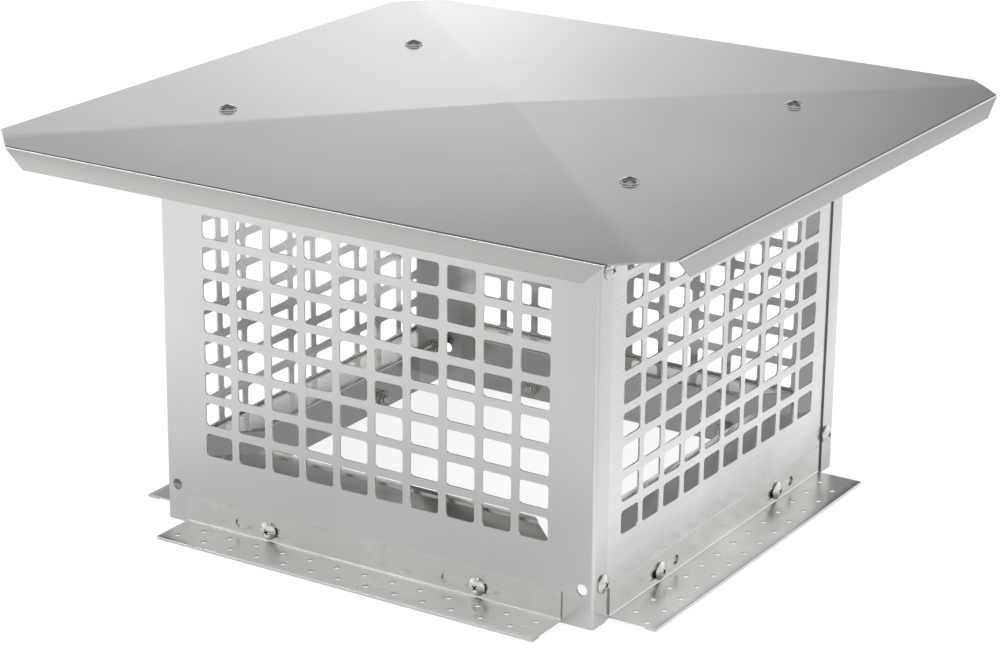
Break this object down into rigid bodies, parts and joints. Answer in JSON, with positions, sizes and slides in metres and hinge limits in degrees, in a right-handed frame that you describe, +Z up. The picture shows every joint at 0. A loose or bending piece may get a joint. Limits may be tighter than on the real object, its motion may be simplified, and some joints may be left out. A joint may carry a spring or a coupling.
{
  "type": "chimney cap",
  "caption": "Square stainless chimney cap with punched walls, a low hipped lid with folded rims, inner ledges and outer base flanges.",
  "frame": {"origin": "centre of the foot, on the plane the walls and base flanges stand on", "axes": "+X along the front wall to the right, +Y from the front wall into the depth, +Z up to the lid"},
  "size_m": [0.462, 0.4708, 0.2563],
  "materials": {
    "lid_sheet": "satin",
    "wall_sheet": "satin",
    "flange_sheet": "satin",
    "ledge_sheet": "satin",
    "screw_steel": "satin",
    "nut_steel": "satin"
  },
  "bodies": {
    "root": {"back_base_flange": "flange_sheet", "back_base_nuts": "nut_steel", "back_base_screws": "screw_steel", "back_ledge": "ledge_sheet", "back_panel": "wall_sheet", "back_returns": "wall_sheet", "front_base_flange": "flange_sheet", "front_base_nuts": "nut_steel", "front_base_screws": "screw_steel", "front_ledge": "ledge_sheet", "front_panel": "wall_sheet", "front_returns": "wall_sheet", "left_base_flange": "flange_sheet", "left_base_nuts": "nut_steel", "left_base_screws": "screw_steel", "left_corner_nuts": "nut_steel", "left_corner_screws": "screw_steel", "left_ledge": "ledge_sheet", "left_panel": "wall_sheet", "left_top_flange": "wall_sheet", "lid": "lid_sheet", "lid_nuts": "nut_steel", "lid_screws": "screw_steel", "right_base_flange": "flange_sheet", "right_base_nuts": "nut_steel", "right_base_screws": "screw_steel", "right_corner_nuts": "nut_steel", "right_corner_screws": "screw_steel", "right_ledge": "ledge_sheet", "right_panel": "wall_sheet", "right_top_flange": "wall_sheet"}
  },
  "joints": []
}
